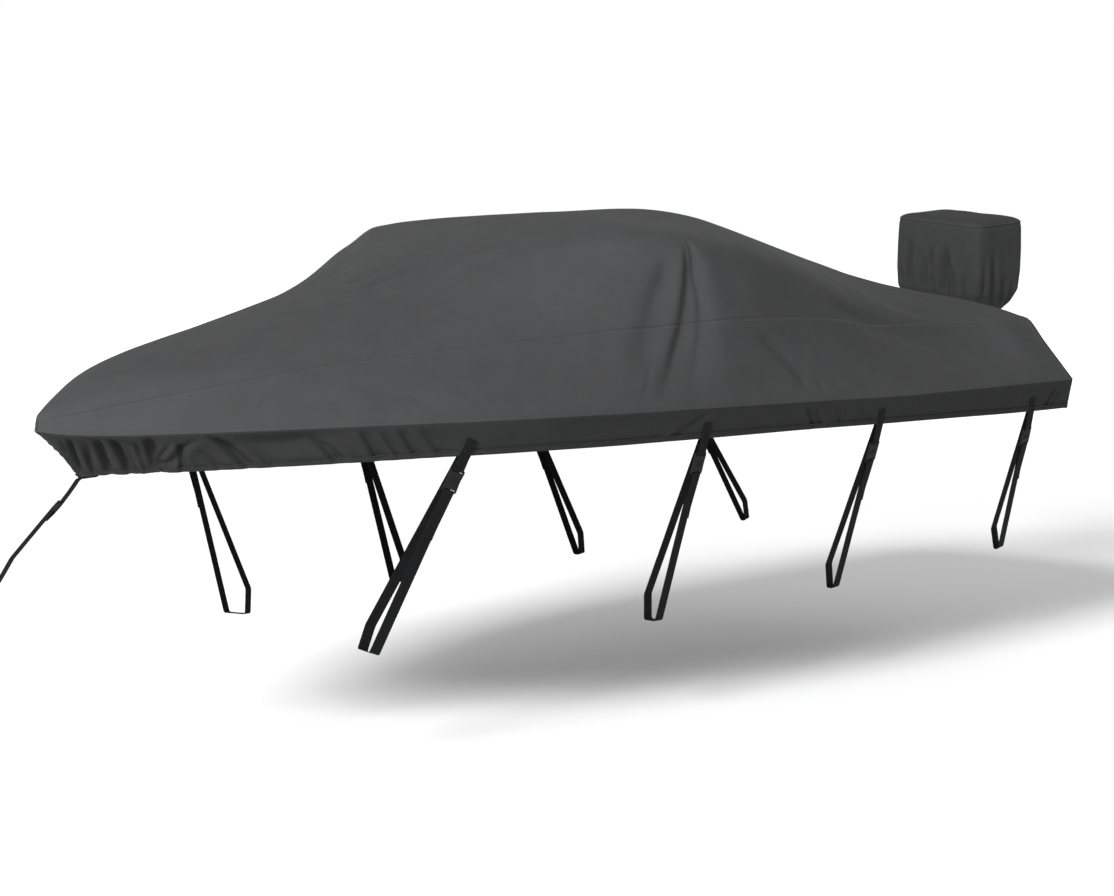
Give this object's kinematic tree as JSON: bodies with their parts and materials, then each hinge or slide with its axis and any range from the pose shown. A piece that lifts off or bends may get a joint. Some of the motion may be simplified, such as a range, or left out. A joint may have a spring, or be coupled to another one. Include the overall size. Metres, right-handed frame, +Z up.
{
  "type": "boat cover",
  "caption": "Fitted trailering cover for a small motorboat: seamed cloth with a gathered skirt, webbing tie-downs with buckles, and a loose matching hood for the outboard motor.",
  "frame": {"origin": "the point under the crown cloth on the centre line where the boat carries the cover, 3.30 m aft of the bow tip", "axes": "+X aft along the boat, from bow to stern; -Y the port side; +Z up"},
  "size_m": [6.5463, 2.35, 1.7713],
  "materials": {
    "cover_cloth": "dull woven polyester, dark grey",
    "webbing": "ribbed woven webbing, black",
    "buckle_plastic": "moulded, black, slightly shiny"
  },
  "bodies": {
    "root": {"buckle_bow": "buckle_plastic", "buckle_port_1": "buckle_plastic", "buckle_port_2": "buckle_plastic", "buckle_port_3": "buckle_plastic", "buckle_port_4": "buckle_plastic", "buckle_starboard_1": "buckle_plastic", "buckle_starboard_2": "buckle_plastic", "buckle_starboard_3": "buckle_plastic", "buckle_starboard_4": "buckle_plastic", "hood_band": "cover_cloth", "hood_top": "cover_cloth", "port_panel": "cover_cloth", "port_skirt": "cover_cloth", "starboard_panel": "cover_cloth", "starboard_skirt": "cover_cloth", "strap_bow": "webbing", "strap_port_1": "webbing", "strap_port_2": "webbing", "strap_port_3": "webbing", "strap_port_4": "webbing", "strap_starboard_1": "webbing", "strap_starboard_2": "webbing", "strap_starboard_3": "webbing", "strap_starboard_4": "webbing", "tab_bow": "webbing", "tab_port_1": "webbing", "tab_port_2": "webbing", "tab_port_3": "webbing", "tab_port_4": "webbing", "tab_starboard_1": "webbing", "tab_starboard_2": "webbing", "tab_starboard_3": "webbing", "tab_starboard_4": "webbing", "top_panel": "cover_cloth", "transom_panel": "cover_cloth"}
  },
  "joints": []
}
